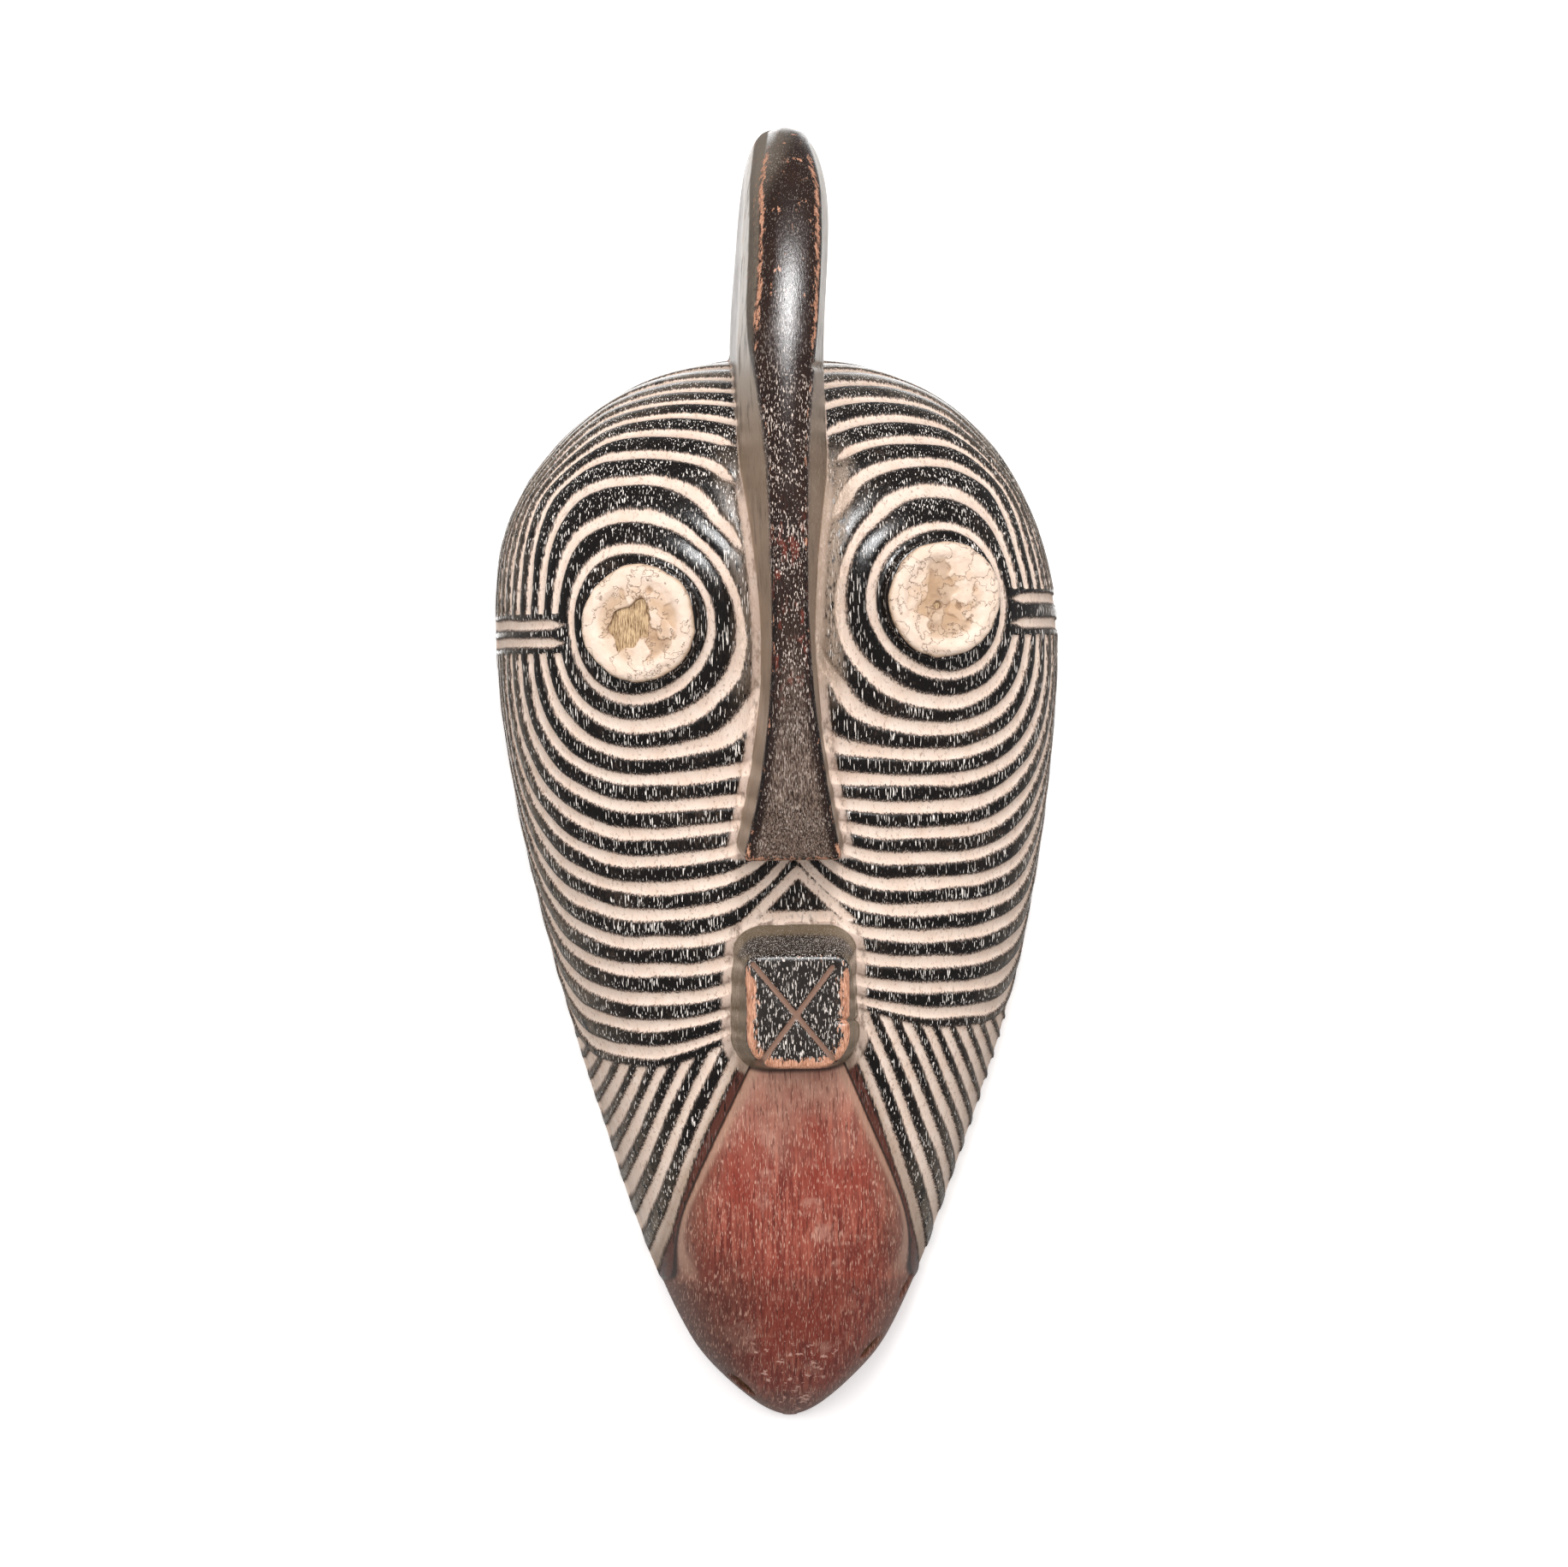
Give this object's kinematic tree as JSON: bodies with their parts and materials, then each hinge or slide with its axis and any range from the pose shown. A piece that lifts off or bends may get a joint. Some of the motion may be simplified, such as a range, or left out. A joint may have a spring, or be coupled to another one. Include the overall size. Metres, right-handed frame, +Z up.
{
  "type": "carved wooden face mask",
  "caption": "Tall-crested wooden face mask with clay-crusted round eyes, ridge nose, block mouth and tie holes, hung on a wall by a swinging D-ring behind its crest",
  "frame": {"origin": "the point where the wall's nail bears on the inside top of the hanger ring", "axes": "+Z up, the face looks along -Y, the flat rim at the back faces the wall along +Y, +X is to the right of someone looking at the face"},
  "size_m": [0.1964, 0.117, 0.45],
  "materials": {
    "wood": "black and red stain, rubbed to a soft sheen, over vertical open-pored grain",
    "clay": "matte crusted cream clay",
    "steel": "dull zinc plate"
  },
  "bodies": {
    "mask": {"mask_carving": "wood", "left_eye_clay": "clay", "right_eye_clay": "clay", "hanger_strap": "steel", "hanger_screw_1": "steel", "hanger_screw_2": "steel"},
    "ring": {"hanger_ring": "steel"}
  },
  "joints": [
    {"name": "ring_swing", "type": "hinge", "parent": "mask", "child": "ring", "pos_m": [0, 0, -0.0125], "axis": [-1, 0, 0], "range_deg": [0, 165]}
  ]
}
